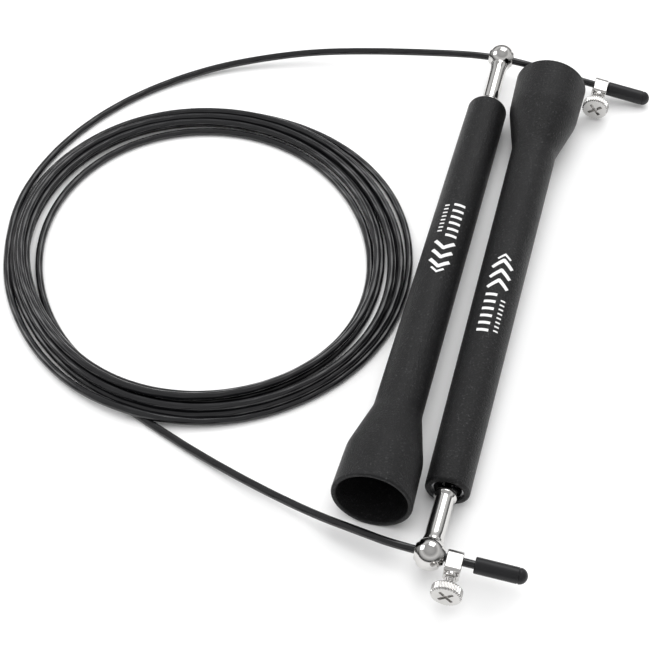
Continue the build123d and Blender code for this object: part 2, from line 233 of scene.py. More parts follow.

# %% [markdown]
# ## The cable's way
# The cable is one NURBS line. Its free stretches are the points that the CAD
# tube uses. Between them the line goes seven times round the coil. Each turn has its own
# lane, written as a share of the way from the coil's inner edge to its outer edge, so the
# turns differ in size, fan out and change places as a hand-wound coil does. The outermost
# turn hangs loose at the front.

# %% Free stretches and lanes of the coil
DIAMETER = 2.5
route_a = vector([
    (39.083, 105.0, 3.790), (17.683, 105.0, 6.721), (-2.55, 105.55, 9.9),
    (-18.2, 105.3, 10.2), (-38.2, 103.2, 8.7), (-57.5, 101.2, 6.7), (-77.0, 98.0, 4.7),
    (-95.0, 91.8, 3.1), (-112.0, 83.2, 1.9), (-127.0, 71.2, 1.3), (-139.5, 56.8, 1.25),
    (-149.2, 40.0, 1.25), (-155.4, 21.5, 1.25), (-157.4, 2.0, 1.25), (-153.6, -17.5, 1.25),
])
route_b = vector([
    (-112.5, -63.6, 1.25), (-97.5, -70.0, 1.25), (-82.5, -76.6, 1.25), (-67.5, -82.9, 1.6),
    (-52.5, -88.8, 2.7), (-38.0, -94.2, 4.4), (-24.3, -98.9, 6.5), (-11.8, -102.2, 8.6),
    (1.558, -105.65, 10.571), (33.128, -105.65, 9.192),
])
coil_centre = vector([-87.6, -3.9])
inner_lane = vector([
    (0, 54.4), (15, 52.8), (30, 52.1), (45, 52.6), (60, 53.8), (75, 55.1), (90, 56.9),
    (105, 59.2), (120, 59.8), (135, 59.2), (150, 58.4), (165, 57.5), (180, 56.4),
    (195, 55.6), (210, 55.3), (225, 55.8), (240, 58.0), (255, 60.4), (270, 61.6),
    (285, 61.4), (300, 60.7), (315, 61.0), (330, 60.0), (345, 57.0), (360, 54.4),
])
loose_turn = vector([
    (191.4, 67.6), (210, 66.0), (225, 65.2), (240, 67.3), (255, 70.6), (268, 71.0),
    (285, 70.3), (300, 68.7), (315, 68.8), (330, 68.6), (345, 67.6), (360, 66.8),
    (375, 66.6), (390, 67.0), (405, 67.2), (420, 67.3), (435, 66.8), (450, 66.6),
    (465, 67.0), (480, 68.2), (495, 69.2), (510, 68.6), (525, 67.4), (540, 66.0),
    (551.4, 65.2),
])
stations = [200, 225, 250, 275, 300, 330, 360, 405, 450, 495, 540]
lanes = [
    (0.72, 0.56, 0.58, 0.80, 0.90, 0.88, 0.84, 0.62, 0.84, 0.86, 0.82),
    (0.64, 0.50, 0.50, 0.66, 0.80, 0.80, 0.56, 0.44, 0.54, 0.60, 0.64),
    (0.52, 0.38, 0.34, 0.26, 0.10, 0.06, 0.14, 0.22, 0.26, 0.42, 0.54),
    (0.44, 0.28, 0.18, 0.05, 0.00, 0.00, 0.00, 0.00, 0.02, 0.00, 0.00),
    (0.00, 0.03, 0.08, 0.12, 0.08, 0.06, 0.22, 0.34, 0.38, 0.50, 0.56),
    (0.56, 0.44, 0.46, 0.64, 0.74, 0.72, 0.64, 0.56, 0.70, 0.72, 0.74),
]


def across_coil(angle, share):
    """Radius at a share of the way from the innermost lane to the outermost turn: each
    is looked up by angle, the inner one once round and the outer one along its turn."""
    round_once = angle % 360
    inside = np.interp(round_once, inner_lane[:, 0], inner_lane[:, 1])
    first_turn = round_once + 360 * (round_once < loose_turn[0, 0])
    outside = np.interp(first_turn, loose_turn[:, 0], loose_turn[:, 1])
    return inside + share * (outside - inside)


print("free stretches of", len(route_a), "and", len(route_b), "points,", len(lanes), "lanes")

# %% [markdown]
# The radius that each turn wants at each angle comes from its lane, by straight lines
# between the stations, and two passes of a three-point mean take their corners away.
# The angle runs on through all seven turns, from where the first free stretch joins the
# coil to where the second leaves it.

# %% Turns of the coil, 24 points a turn
TURNS = 7
per_turn = 24
step = 360.0 / per_turn
joins_at, leaves_at = 191.4, 247.4
leaving_share = 0.56
angles = joins_at + step * np.arange(1, TURNS * per_turn + 3)
knots = loose_turn.tolist()
for number, row in enumerate(lanes, start=1):
    for station, share in zip(stations, row):
        knots.append([station + 360 * number, across_coil(station, share)])
knots += [[at + 360 * TURNS, across_coil(at, leaving_share)] for at in stations[:2]]
knots.append([leaves_at + 360 * TURNS, np.hypot(*(route_b[0, :2] - coil_centre))])
knots = vector(knots)
wanted = np.interp(angles, knots[:, 0], knots[:, 1])
for _ in range(2):
    wanted[1:-1] = 0.25 * wanted[:-2] + 0.5 * wanted[1:-1] + 0.25 * wanted[2:]
print("wanted radii from", round(wanted.min(), 1), "to", round(wanted.max(), 1), "mm")

# %% [markdown]
# Lanes alone would let the turns lie in each other. So the coil is settled: the turns
# start one above the other in the order in which they lie, fall a little at each step,
# and push each other apart where two lie closer than a diameter. They push up and down
# fully but sideways only a little, as if they rubbed on each other, and a pull keeps each
# near its lane until the last few steps. The first turn is held above the leaving end
# where the two cross. All come to rest on the floor or on the turns below. A rigid-body
# simulation could do this too, but a cable isn't rigid.

# %% Settle the turns on the floor and on each other
SLOTS = TURNS + 1
order = [4, 5, 7, 6, 3, 2, 1, 0]
steps_held, steps_free = 470, 30
fall = 0.05
layer = 2.4
on_floor = DIAMETER / 2
near_tail, above_tail = 3.2, DIAMETER * 1.5 + 0.15
even_bend, even_lift = 0.2, 0.12
turn_of = np.arange(len(angles)) // per_turn
radius = np.full(SLOTS * per_turn, np.nan)
height = np.full(SLOTS * per_turn, np.nan)
live = slice(0, len(angles))
radius[live] = wanted
height[live] = on_floor + layer * vector(order)[turn_of]
tail_b = route_b[1:4, :2] - coil_centre
tail_angle = np.degrees(np.arctan2(tail_b[:, 1], tail_b[:, 0])) % 360
tail_radius = np.hypot(*tail_b.T)
under = np.interp(angles[:per_turn], tail_angle, tail_radius, left=np.nan, right=np.nan)
under = np.where(angles[:per_turn] <= tail_angle[-1], under, np.nan)
pairs = [(a, b) for a in range(SLOTS) for b in range(a + 1, SLOTS)]
for step_number in range(steps_held + steps_free):
    sideways, pull = (0.2, 0.25) if step_number < steps_held else (0.3, 0.02)
    height[live] -= fall
    r, z = radius.reshape(SLOTS, per_turn), height.reshape(SLOTS, per_turn)
    for a, b in pairs:
        dr, dz = r[b] - r[a], z[b] - z[a]
        gap = np.sqrt(dr**2 + dz**2) + 1e-9
        push = np.nan_to_num(np.clip(DIAMETER - gap, 0, None) / gap * 0.5)
        dr, dz = np.nan_to_num(dr), np.nan_to_num(dz)
        r[a] -= dr * push * sideways
        z[a] -= dz * push
        r[b] += dr * push * sideways
        z[b] += dz * push
    beside = np.abs(r[0] - under)
    z[0] = np.where(beside < near_tail, np.fmax(z[0], above_tail), z[0])
    radius[live] += pull * (wanted - radius[live])
    bend = radius[live] - wanted
    bend[1:-1] += even_bend * (bend[:-2] + bend[2:] - 2 * bend[1:-1])
    radius[live] = wanted + bend
    lift = height[live].copy()
    lift[1:-1] += even_lift * (lift[:-2] + lift[2:] - 2 * lift[1:-1])
    height[live] = np.maximum(lift, on_floor)
radius, height = radius[live], height[live]
print("settled coil: radii", round(radius.min(), 1), round(radius.max(), 1),
      "highest middle line", round(height.max(), 2), "mm")

# %% [markdown]
# The whole cable is one NURBS line through both free stretches and the coil. A NURBS line
# cuts inside its control points, so the coil's points stand out by the inverse cosine of
# half a step. The line is read back as points, and the tube further on follows those.

# %% One NURBS line for the whole cable
cut_inside = math.cos(math.radians(step / 2))
t = np.radians(angles)
turns = np.stack([
    coil_centre[0] + radius / cut_inside * np.cos(t),
    coil_centre[1] + radius / cut_inside * np.sin(t),
    height,
], -1)
control = np.vstack([route_a, turns, route_b[1:]])
curve = bpy.data.curves.new("cable_route", "CURVE")
curve.dimensions = "3D"
spline = curve.splines.new("NURBS")
spline.points.add(len(control) - 1)
spline.points.foreach_set("co", np.hstack([control * MM, np.ones((len(control), 1))]).ravel())
spline.order_u = 3
spline.use_endpoint_u = True
spline.resolution_u = 13
route = bpy.data.objects.new("cable_route", curve)
bpy.context.collection.objects.link(route)
route_mesh = bpy.data.meshes.new_from_object(route)
way = np.empty(len(route_mesh.vertices) * 3)
route_mesh.vertices.foreach_get("co", way)
way = way.reshape(-1, 3) / MM
bpy.data.objects.remove(route)

# %% [markdown]
# ## Shared finishes
# Four effects are used by more than one material, so each is a node group: a fine
# speckled grain, slow patches of gloss, mottled colour, and fine scratches. A group puts
# out only values and colours that vary over the surface; each material keeps its own
# Principled shader and sets the uniform numbers on it.

# %% Make groups and nodes
def new_group(name, inputs, outputs):
    """An empty shader group with float or colour sockets."""
    group = bpy.data.node_groups.new(name, "ShaderNodeTree")
    for socket, kind, value in inputs:
        made = group.interface.new_socket(socket, in_out="INPUT", socket_type=kind)
        made.default_value = value
    for socket, kind in outputs:
        group.interface.new_socket(socket, in_out="OUTPUT", socket_type=kind)
    return group, group.nodes.new("NodeGroupInput"), group.nodes.new("NodeGroupOutput")


def add(tree, kind, values=None, **settings):
    """One node with its settings, and the values of its sockets by name or number."""
    node = tree.nodes.new(kind)
    for key, value in settings.items():
        setattr(node, key, value)
    for key, value in (values or {}).items():
        node.inputs[key].default_value = value
    return node


def connect(tree, links):
    """Links from a node's output to another's input, each socket by name or number."""
    for start, output, end, socket in links:
        tree.links.new(start.outputs[output], end.inputs[socket])


FLOAT, COLOUR = "NodeSocketFloat", "NodeSocketColor"
print("sockets hold", FLOAT, "or", COLOUR)

# %% [markdown]
# ** Speckled grain.** A moulded plastic skin is a field of tiny pits. Noise alone looks
# like fog and cells alone look like scales, so the height is a mix of both, and the
# tops of the noise come out as a second value, a mask of specks: the grip paints a lighter
# colour on it as painted glints, and the cable uses it as relief.

# %% Fine speckled grain
grain, given, put = new_group(
    "speckled_grain",
    [("Scale", FLOAT, 1800.0), ("Coarse Share", FLOAT, 0.35)],
    [("Height", FLOAT), ("Speckle", FLOAT)],
)
place = add(grain, "ShaderNodeTexCoord")
fine = add(grain, "ShaderNodeTexNoise", {"Detail": 3.0, "Roughness": 0.65})
cells = add(grain, "ShaderNodeTexVoronoi")
mix = add(grain, "ShaderNodeMix", data_type="FLOAT")
speck = add(grain, "ShaderNodeMapRange", {"From Min": 0.58, "From Max": 0.72})
connect(grain, [
    (place, "Object", fine, "Vector"),
    (place, "Object", cells, "Vector"),
    (given, "Scale", fine, "Scale"),
    (given, "Scale", cells, "Scale"),
    (given, "Coarse Share", mix, 0),
    (fine, "Fac", mix, 2),
    (cells, "Distance", mix, 3),
    (mix, 0, put, "Height"),
    (fine, "Fac", speck, "Value"),
    (speck, "Result", put, "Speckle"),
])

print("speckled grain has", len(grain.nodes), "nodes")

# %% [markdown]
# **Gloss, colour and scratches.** Handling leaves slow patches of gloss, no dye is quite
# even, and polished metal has hairlines that run one way. Each is a stretched or plain
# noise whose range is set by the material that uses it.

# %% Patches of gloss, mottled colour and fine scratches
patches, given, put = new_group(
    "gloss_patches",
    [("Scale", FLOAT, 60.0), ("Low", FLOAT, 0.4), ("High", FLOAT, 0.6)],
    [("Roughness", FLOAT)],
)
place = add(patches, "ShaderNodeTexCoord")
slow = add(patches, "ShaderNodeTexNoise", {"Detail": 4.0, "Roughness": 0.6})
spread = add(patches, "ShaderNodeMapRange", {"From Min": 0.32, "From Max": 0.68})
connect(patches, [
    (place, "Object", slow, "Vector"),
    (given, "Scale", slow, "Scale"),
    (slow, "Fac", spread, "Value"),
    (given, "Low", spread, "To Min"),
    (given, "High", spread, "To Max"),
    (spread, "Result", put, "Roughness"),
])

black = (0, 0, 0, 1)
mottle, given, put = new_group(
    "mottled_colour",
    [("Scale", FLOAT, 90.0), ("Colour A", COLOUR, black), ("Colour B", COLOUR, black)],
    [("Colour", COLOUR)],
)
place = add(mottle, "ShaderNodeTexCoord")
cloud = add(mottle, "ShaderNodeTexNoise", {"Detail": 5.0, "Roughness": 0.7})
blend = add(mottle, "ShaderNodeMix", data_type="RGBA")
connect(mottle, [
    (place, "Object", cloud, "Vector"),
    (given, "Scale", cloud, "Scale"),
    (cloud, "Fac", blend, 0),
    (given, "Colour A", blend, 6),
    (given, "Colour B", blend, 7),
    (blend, 2, put, "Colour"),
])

scratches, given, put = new_group(
    "fine_scratches",
    [("Scale", FLOAT, 700.0)],
    [("Height", FLOAT)],
)
place = add(scratches, "ShaderNodeTexCoord")
squeeze = add(scratches, "ShaderNodeMapping",
              {"Scale": (1.0, 0.06, 1.0), "Rotation": (0.2, 0.1, 0.9)})
hair = add(scratches, "ShaderNodeTexNoise", {"Detail": 2.0, "Roughness": 0.5})
thin = add(scratches, "ShaderNodeMapRange", {"From Min": 0.62, "From Max": 0.70})
connect(scratches, [
    (place, "Object", squeeze, "Vector"),
    (squeeze, "Vector", hair, "Vector"),
    (given, "Scale", hair, "Scale"),
    (hair, "Fac", thin, "Value"),
    (thin, "Result", put, "Height"),
])
print("groups:", [group.name for group in bpy.data.node_groups])


# %% [markdown]
# **One material function.** Every finish here has mottled colour and patchy gloss, so one
# function makes both and leaves the rest, such as bump and metal, to the caller. Values
# that are the same all over go straight to the shader's sockets.

# %% A material that takes the groups
def make_material(name, colours, gloss, colour_scale=90.0, metallic=0.0, **sockets):
    """Principled shader with mottled colour between two colours and roughness between
    two values. Other sockets are set directly. Gives back the material and its nodes."""
    material = bpy.data.materials.new(name)
    material.use_nodes = True
    tree = material.node_tree
    shader = tree.nodes["Principled BSDF"]
    shader.inputs["Metallic"].default_value = metallic
    for key, value in sockets.items():
        shader.inputs[key.replace("_", " ")].default_value = value
    colour = add(tree, "ShaderNodeGroup", {
        "Scale": colour_scale, "Colour A": (*colours[0], 1), "Colour B": (*colours[1], 1),
    }, node_tree=mottle)
    tree.links.new(colour.outputs["Colour"], shader.inputs["Base Color"])
    rough = add(tree, "ShaderNodeGroup", {"Low": gloss[0], "High": gloss[1]}, node_tree=patches)
    tree.links.new(rough.outputs["Roughness"], shader.inputs["Roughness"])
    return material, tree, shader


def raise_surface(tree, shader, height, strength, depth):
    """A bump node between a height and the shader's normal."""
    bump = add(tree, "ShaderNodeBump", {"Strength": strength, "Distance": depth * MM})
    tree.links.new(height, bump.inputs["Height"])
    tree.links.new(bump.outputs["Normal"], shader.inputs["Normal"])
    return bump


print("material functions ready for", len(bpy.data.node_groups), "groups")

# %% [markdown]
# ## Materials
# The grips are moulded in black plastic from a spark-eroded mould: satin, with a grain of
# about half a millimetre that glitters where the light grazes it; here that glitter is
# painted into the colour as lighter specks. The cable has a smooth glossy coat through which
# the twist of the steel strands just shows. The fittings are bright chrome, and the end
# caps are soft satin vinyl.

# %% Plastic, vinyl and nylon
grip_plastic, tree, shader = make_material(
    "grip_plastic", ((0.006, 0.006, 0.0065), (0.009, 0.009, 0.0095)), (0.40, 0.50),
    Specular_IOR_Level=0.26,
)
grain_and_glint = add(tree, "ShaderNodeGroup", {"Scale": 1700.0}, node_tree=grain)
raise_surface(tree, shader, grain_and_glint.outputs["Height"], 1.0, 0.32)
colour_link = shader.inputs["Base Color"].links[0]
# Painted glints: on the tops of the grain a lighter grey is mixed into the base colour, standing
# in for specks that catch the light.
painted_glint = add(tree, "ShaderNodeMix", {7: (0.058, 0.058, 0.060, 1)}, data_type="RGBA")
tree.links.new(grain_and_glint.outputs["Speckle"], painted_glint.inputs[0])
tree.links.new(colour_link.from_socket, painted_glint.inputs[6])
tree.links.new(painted_glint.outputs[2], shader.inputs["Base Color"])

cap_vinyl, tree, shader = make_material(
    "cap_vinyl", ((0.006, 0.006, 0.007), (0.014, 0.014, 0.015)), (0.34, 0.46), 300.0,
    Specular_IOR_Level=0.3,
)
soft = add(tree, "ShaderNodeGroup", {"Scale": 900.0}, node_tree=grain)
raise_surface(tree, shader, soft.outputs["Height"], 0.2, 0.06)

socket_nylon, tree, shader = make_material(
    "socket_nylon", ((0.015, 0.015, 0.016), (0.03, 0.03, 0.032)), (0.30, 0.45),
)
turned = add(tree, "ShaderNodeGroup", node_tree=scratches)
raise_surface(tree, shader, turned.outputs["Height"], 0.2, 0.02)

# %% [markdown]
# Chrome is a mirror with a faint warm tint and hairlines. Bearing steel is ground, so it
# is rougher and its scratches are finer. Both are fully metallic, and it's the
# surroundings that they reflect which make them read as metal.

# %% Chrome and bearing steel
polished_chrome, tree, shader = make_material(
    "polished_chrome", ((0.68, 0.67, 0.655), (0.56, 0.55, 0.54)), (0.05, 0.12), 200.0, 1.0,
)
hairline = add(tree, "ShaderNodeGroup", node_tree=scratches)
raise_surface(tree, shader, hairline.outputs["Height"], 0.12, 0.01)

bearing_steel, tree, shader = make_material(
    "bearing_steel", ((0.55, 0.55, 0.56), (0.45, 0.45, 0.46)), (0.18, 0.34), 200.0, 1.0,
)
ground = add(tree, "ShaderNodeGroup", {"Scale": 2500.0}, node_tree=scratches)
raise_surface(tree, shader, ground.outputs["Height"], 0.3, 0.01)

# %% [markdown]
# The coating is clear of grain but thin, so the seven strands below it raise low ridges
# that wind round it. Each ridge is a sine of the turn plus the length in lay lengths,
# which the tube carries in its UV map. Real ridges in the mesh would cost too much here.

# %% Cable coating, with the twist of the strands under it
cable_coating, tree, shader = make_material(
    "cable_coating", ((0.005, 0.005, 0.006), (0.010, 0.010, 0.011)), (0.14, 0.23), 250.0,
    Specular_IOR_Level=0.5,
)
layout = add(tree, "ShaderNodeUVMap", uv_map="along")
split = add(tree, "ShaderNodeSeparateXYZ")
strands = add(tree, "ShaderNodeMath", {1: 7.0}, operation="MULTIPLY")
twist = add(tree, "ShaderNodeMath", operation="ADD")
phase = add(tree, "ShaderNodeMath", {1: 2 * math.pi}, operation="MULTIPLY")
wave = add(tree, "ShaderNodeMath", operation="SINE")
dust = add(tree, "ShaderNodeGroup", {"Scale": 1200.0}, node_tree=grain)
relief = add(tree, "ShaderNodeMath", {1: 0.35}, operation="MULTIPLY_ADD")
connect(tree, [
    (layout, "UV", split, "Vector"),
    (split, "X", strands, 0),
    (strands, 0, twist, 0),
    (split, "Y", twist, 1),
    (twist, 0, phase, 0),
    (phase, 0, wave, 0),
    (dust, "Speckle", relief, 0),
    (wave, 0, relief, 2),
])
raise_surface(tree, shader, relief.outputs[0], 0.22, 0.06)

# %% [markdown]
# The ink is a thin matt layer, nearly white, with a little of the grip's grain in it. It
# lies on skins of its own further on, so it needs no image and stays sharp close up.

# %% Printed ink
mark_ink, tree, shader = make_material(
    "mark_ink", ((0.80, 0.80, 0.80), (0.70, 0.70, 0.70)), (0.35, 0.55), 400.0,
)
inked = add(tree, "ShaderNodeGroup", node_tree=grain)
raise_surface(tree, shader, inked.outputs["Height"], 0.3, 0.05)
print("materials:", sorted(material.name for material in bpy.data.materials))


# %% [markdown]
# ## Bodies
# Each piece moves with one body of the model, and stands for the CAD nodes that it hides.
# Nothing here is soft enough to need blending between two bodies.

# %% Give a piece its body, finish and CAD node
def place_piece(piece, body, material, slot, *nodes):
    """Adds the material, rides the piece on the body and hides its nodes; slot is not used."""
    piece.data.materials.append(material)
    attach(piece, body)
    if nodes:
        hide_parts(*nodes)


# %% [markdown]
# ## The cable
# A mesh tube follows the line that was read back from the NURBS curve. A bevelled curve
# would be quicker, but its texture can't run along it in turns of the strands, so the
# tube is made here, with one texture unit a lay length of the twist.

# %% Cable tube
def tube(way, radius, columns, lay):
    """Rings of points square to the line: side is the line's direction times the
    upright, up is side times direction. The second texture value is the length
    along the line in lay lengths."""
    ahead = np.gradient(way, axis=0)
    ahead /= np.linalg.norm(ahead, axis=1)[:, None]
    side = np.cross(ahead, (0, 0, 1))
    side /= np.linalg.norm(side, axis=1)[:, None]
    up = np.cross(side, ahead)
    t = np.linspace(0, 2 * np.pi, columns, endpoint=False)
    rings = way[:, None] + radius * (
        np.cos(t)[None, :, None] * side[:, None] + np.sin(t)[None, :, None] * up[:, None]
    )
    length = np.concatenate([[0], np.cumsum(np.linalg.norm(np.diff(way, axis=0), axis=1))])
    vertices, quads, triangles, quad_uv, triangle_uv = shell(rings)
    rows = np.linspace(0, 1, len(way))
    quad_uv = quad_uv.copy()
    quad_uv[..., 1] = np.interp(quad_uv[..., 1], rows, length / lay)
    return vertices, quads, triangles, quad_uv, triangle_uv


lay_length = 11.0
cable = make_piece("cable", [tube(way, DIAMETER / 2, 18, lay_length)])
place_piece(cable, "cable", cable_coating, "cable_coating",
            "cable_coil", "cable_end_a", "cable_end_b")

# %% [markdown]
# ## Both handles
# Handle b is handle a turned half round, so one function makes either from its joints:
# the grip's axis and narrow face come from the joint it spins on, the stem's axis from
# the ball foot and the eye.

# %% Where each handle's pieces are
bearing_at = 10.5


def handle_frames(side):
    """Frames in millimetres: grip (at its narrow face, towards the bell), stem (at the
    ball foot, towards the eye), eye (across), and clamp (towards the thumbscrew)."""
    spin = joints["grip_spin_" + side]
    axis = unit(spin["axis"])
    foot = vector(joints["ball_tilt_" + side]["pos_m"]) / MM
    eye = vector(joints["eye_turn_" + side]["pos_m"]) / MM
    clamp = vector(joints["thumb_turn_" + side]["pos_m"]) / MM
    cable_way = unit(joints["clamp_slide_" + side]["axis"])
    return {
        "grip": (vector(spin["pos_m"]) / MM - axis * bearing_at, axes_of(axis, (0, 0, 1))),
        "stem": (foot, axes_of(eye - foot, (1, 0, 0))),
        "eye": (eye, axes_of((1, 0, 0), (0, 0, 1))),
        "clamp": (clamp, axes_of((0, -1, 0), cable_way)),
        "cable": (clamp, axes_of(cable_way, (0, -1, 0))),
    }


places = {side: handle_frames(side) for side in ("a", "b")}
for side in places:
    print("handle", side, "narrow face at", np.round(places[side]["grip"][0], 2).tolist())

# %% [markdown]
# ## Grip
# The grip is a thin shell: a slow taper, a flare and a short bell, open at the wide end,
# with a stepped socket for the bearing at the narrow end. A closed profile turned about
# the axis gives the inner and the outer wall at once, and each corner has the rounding
# that the mould leaves.

# %% Grips
grip_length, neck_at, shoulder_at = 175.0, 141.5, 158.5
narrow_radius, neck_radius, shoulder_radius, mouth_radius = 6.85, 7.6, 11.8, 12.3
wall = 1.5
neck_blend, shoulder_blend, rim_round = 14.0, 16.0, 0.6
ring_at, ring_end, partition_at, core_at = 1.0, 1.8, 14.5, 16.5
seat_radius, groove_radius, hole_radius, core_radius = 5.0, 5.35, 3.6, 5.438


def taper(station):
    """Outer radius of the straight stretch: from the narrow face evenly to the neck."""
    return narrow_radius + (neck_radius - narrow_radius) * station / neck_at


grip_profile = rounded([
    (0, narrow_radius, 0.9), (neck_at, neck_radius, neck_blend),
    (shoulder_at, shoulder_radius, shoulder_blend), (grip_length, mouth_radius, rim_round),
    (grip_length, mouth_radius - wall, rim_round),
    (shoulder_at, shoulder_radius - wall, shoulder_blend),
    (neck_at, neck_radius - wall, neck_blend), (core_at, core_radius, 0.4),
    (core_at, hole_radius, 0.3), (partition_at, hole_radius, 0), (partition_at, seat_radius, 0),
    (ring_end, seat_radius, 0), (ring_end, groove_radius, 0),
    (ring_at, groove_radius, 0), (ring_at, seat_radius, 0), (0, seat_radius, 0.25),
], closed=True, steps=11, longest=3.0)
for side in places:
    origin, axes = places[side]["grip"]
    points = lathe(origin, axes, *grip_profile.T, 128)
    grip = make_piece("grip_skin_" + side, [shell(points, rows_closed=True)])
    place_piece(grip, "handle_" + side, grip_plastic, "grip_plastic", "grip_" + side)

# %% [markdown]
# ## Printed mark
# Each grip carries a white print on its top. Here it is a plain pattern of nested
# chevrons and a scale of bars. Every stroke is a thin skin that follows the round of the
# grip: its outline is laid out flat, in millimetres along and round the grip, and the
# grid between its four corners is wrapped on the surface.

# %% Strokes of the mark
def stroke(corners, columns=14, rows=6):
    """Points between four flat corners: the weighted mean of the corners by two shares."""
    u, v = np.meshgrid(np.linspace(0, 1, columns), np.linspace(0, 1, rows), indexing="ij")
    a, b, c, d = (vector(corner) for corner in corners)
    u, v = u[..., None], v[..., None]
    return (1 - u) * (1 - v) * a + u * (1 - v) * b + u * v * c + (1 - u) * v * d


def bar(start, end, width):
    """Corners of a bar from start to end: half the width to either side of the line."""
    start, end = vector(start), vector(end)
    ahead = unit(end - start)
    across = vector([-ahead[1], ahead[0]]) * width / 2
    return [start - across, end - across, end + across, start + across]


chevrons = [(74.0, 3.3, 1.25), (78.2, 3.3, 1.25), (82.4, 3.3, 1.25), (86.0, 2.1, 0.7)]
ink_above, ink_below = 0.035, 0.05
mark_bars = []
for at, half, width in chevrons:
    mark_bars.append(bar((at, -half), (at + half, 0.25), width))
    mark_bars.append(bar((at, half), (at + half, -0.25), width))
mark_bars += [bar((at, -3.2), (at, 0.6), 1.05) for at in 56.5 + 2.9 * np.arange(6)]
mark_bars += [bar((at, 2.1), (at, 3.7), 0.6) for at in np.arange(57.0, 71.0, 1.75)]
for side in places:
    origin, (axis, up, across) = places[side]["grip"]
    shells = []
    for corners in mark_bars:
        flat = stroke(corners)
        outer = taper(flat[..., 0])
        turn_angle = flat[..., 1] / outer
        layers = []
        for lift in (ink_above, -ink_below):
            reach = (outer + lift)[..., None]
            layers.append(origin + flat[..., :1] * axis
                          + reach * np.cos(turn_angle)[..., None] * up
                          + reach * np.sin(turn_angle)[..., None] * across)
        loop = np.concatenate([layers[0], layers[1][:, ::-1]], axis=1)
        shells.append(shell(loop))
    mark = make_piece("mark_" + side, shells)
    place_piece(mark, "handle_" + side, mark_ink, "grip_plastic")

# %% [markdown]
# ## Stem with its eye
# The stem is turned from steel and chromed: a ball foot that sits in the cup, a thread
# for the lock nut, a flange, a round shank, and a ball-shaped eye bored across. The
# thread is a real helix: the radius swings with the length less the share of a turn.

# %% Stems
def thread(along, columns, pitch, depth, start, end):
    """How far a thread goes in: depth times a triangle wave of (length / pitch - turn),
    faded in and out over half a pitch at its two ends."""
    turn_share = np.linspace(0, 1, columns, endpoint=False)
    wave = np.abs(((along[:, None] / pitch - turn_share) % 1) * 2 - 1)
    fade = np.clip((along - start) / pitch * 2, 0, 1) * np.clip((end - along) / pitch * 2, 0, 1)
    return depth * wave * fade[:, None]


foot_radius, root_radius, flange_radius, shank_radius = 3.1, 1.5, 3.45, 2.9
flange_start, flange_end, shank_end = 7.2, 8.4, 26.2
thread_start, thread_end, thread_pitch, thread_depth = 2.9, 4.85, 0.5, 0.22
eye_radius, eye_half, eye_bore = 4.9, 3.3, 3.3
round_half = 3.05
rib_half, rib_radius = 0.58, 3.63
lip_radius = 3.66


def ball_radius(along, size):
    """Radius of a ball's slice: the root of size squared less along squared."""
    return np.sqrt(size**2 - along**2)


foot_angles = np.radians(np.linspace(178, 29, 26))
foot_line = foot_radius * np.stack([np.cos(foot_angles), np.sin(foot_angles)], -1)
root_line = np.stack([np.arange(2.8, 4.8, 0.08), np.full(25, root_radius)], -1)
shank_line = rounded([
    (thread_end, root_radius, 0), (flange_start, root_radius, 0),
    (flange_start, flange_radius, 0.3), (flange_end, flange_radius, 0.3),
    (flange_end + 0.8, shank_radius, 0.35), (shank_end - 2.6, shank_radius, 12),
    (shank_end - 0.6, shank_radius + 0.3, 0.2), (shank_end, shank_radius + 0.25, 0),
], steps=8, longest=2.0)
stem_line = np.vstack([foot_line, root_line, shank_line])
eye_x = np.linspace(-round_half, round_half, 30)
edge_radius = 3.83
eye_line = np.vstack([
    np.stack([eye_x, ball_radius(eye_x, eye_radius)], -1),
    rounded([
        (round_half, edge_radius, 0), (eye_half, lip_radius, 0.1), (eye_half, eye_bore, 0.15),
        (rib_half, eye_bore, 0), (rib_half, rib_radius, 0), (-rib_half, rib_radius, 0),
        (-rib_half, eye_bore, 0), (-eye_half, eye_bore, 0.15), (-eye_half, lip_radius, 0.1),
        (-round_half, edge_radius, 0),
    ], steps=5)[1:-1],
])
for side in places:
    origin, axes = places[side]["stem"]
    cut = thread(stem_line[:, 0], 96, thread_pitch, thread_depth, thread_start, thread_end)
    shank = shell(lathe(origin, axes, stem_line[:, 0], stem_line[:, 1:] - cut, 96))
    origin, axes = places[side]["eye"]
    eye = shell(lathe(origin, axes, *eye_line.T, 112), rows_closed=True)
    stem = make_piece("stem_chrome_" + side, [shank, eye])
    place_piece(stem, "stem_" + side, polished_chrome, "polished_chrome", "swivel_stem_" + side)

# %% [markdown]
# ## Spool
# A small spool turns inside the eye, so that the cable doesn't rub on it. It is bored for
# the cable, has a collar that runs in the eye's groove, and ends in a cone on each side.
# Both halves are alike, so one half of the outline is written down and mirrored before
# it is turned.

# %% Spools
collar_half, collar_radius, barrel_radius = 0.5, 3.47, 3.22
spool_half, cone_radius, spool_bore = 4.3, 2.4, 1.8
half_spool = [
    (collar_half, collar_radius, 0.05), (collar_half, barrel_radius, 0),
    (eye_half, barrel_radius, 0.15), (spool_half, cone_radius, 0.2), (spool_half, spool_bore, 0.2),
]
mirrored = [(-x, y, size) for x, y, size in reversed(half_spool)]
spool_line = rounded(mirrored + half_spool, closed=True, steps=5, longest=0.8)
for side in places:
    origin, axes = places[side]["eye"]
    spool = make_piece("spool_" + side, [
        shell(lathe(origin, axes, *spool_line.T, 72), rows_closed=True),
    ])
    place_piece(spool, "cable", polished_chrome, "polished_chrome", "eye_spool_" + side)

# %% [markdown]
# ## Clamp
# The clamp is a strip of metal bent round the cable, with a threaded boss in front. Its
# middle line is a closed path, half round at the back and square in front, and a strip
# section with rounded edges is carried along it. Solidify on a bent sheet would do too,
# but it can't round the strip's edges.

